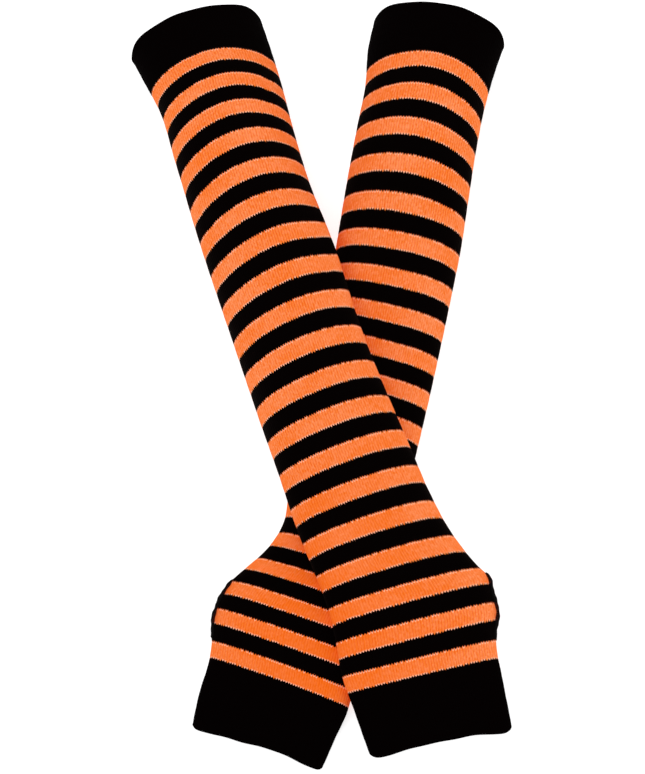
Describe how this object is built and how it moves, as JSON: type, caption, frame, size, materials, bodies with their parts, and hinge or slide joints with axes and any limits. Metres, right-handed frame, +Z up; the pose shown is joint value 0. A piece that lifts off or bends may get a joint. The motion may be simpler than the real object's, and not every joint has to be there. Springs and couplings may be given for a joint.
{
  "type": "pair of knitted arm warmers",
  "caption": "Long fingerless knitted arm warmers with stripes, black cuffs and thumb slits, lying crossed and softly filled out.",
  "frame": {"origin": "middle of the pair's footprint, on the surface that it lies on", "axes": "+Z up from the surface, +Y towards the open upper-arm ends, +X to the right seen from the hand ends with +Y ahead"},
  "size_m": [0.269, 0.5358, 0.0606],
  "materials": {
    "striped_knit": "matte knit in orange and black stripes",
    "black_knit": "matte black knit",
    "edging_thread": "black overlock thread"
  },
  "bodies": {
    "root": {"back_upper_cuff": "black_knit", "back_striped_upper_arm": "striped_knit", "back_striped_forearm": "striped_knit", "back_striped_wrist": "striped_knit", "back_hand_cuff": "black_knit", "back_thumb_edging": "edging_thread", "front_upper_cuff": "black_knit", "front_striped_upper_arm": "striped_knit", "front_striped_forearm": "striped_knit", "front_striped_wrist": "striped_knit", "front_hand_cuff": "black_knit", "front_thumb_edging": "edging_thread"}
  },
  "joints": []
}
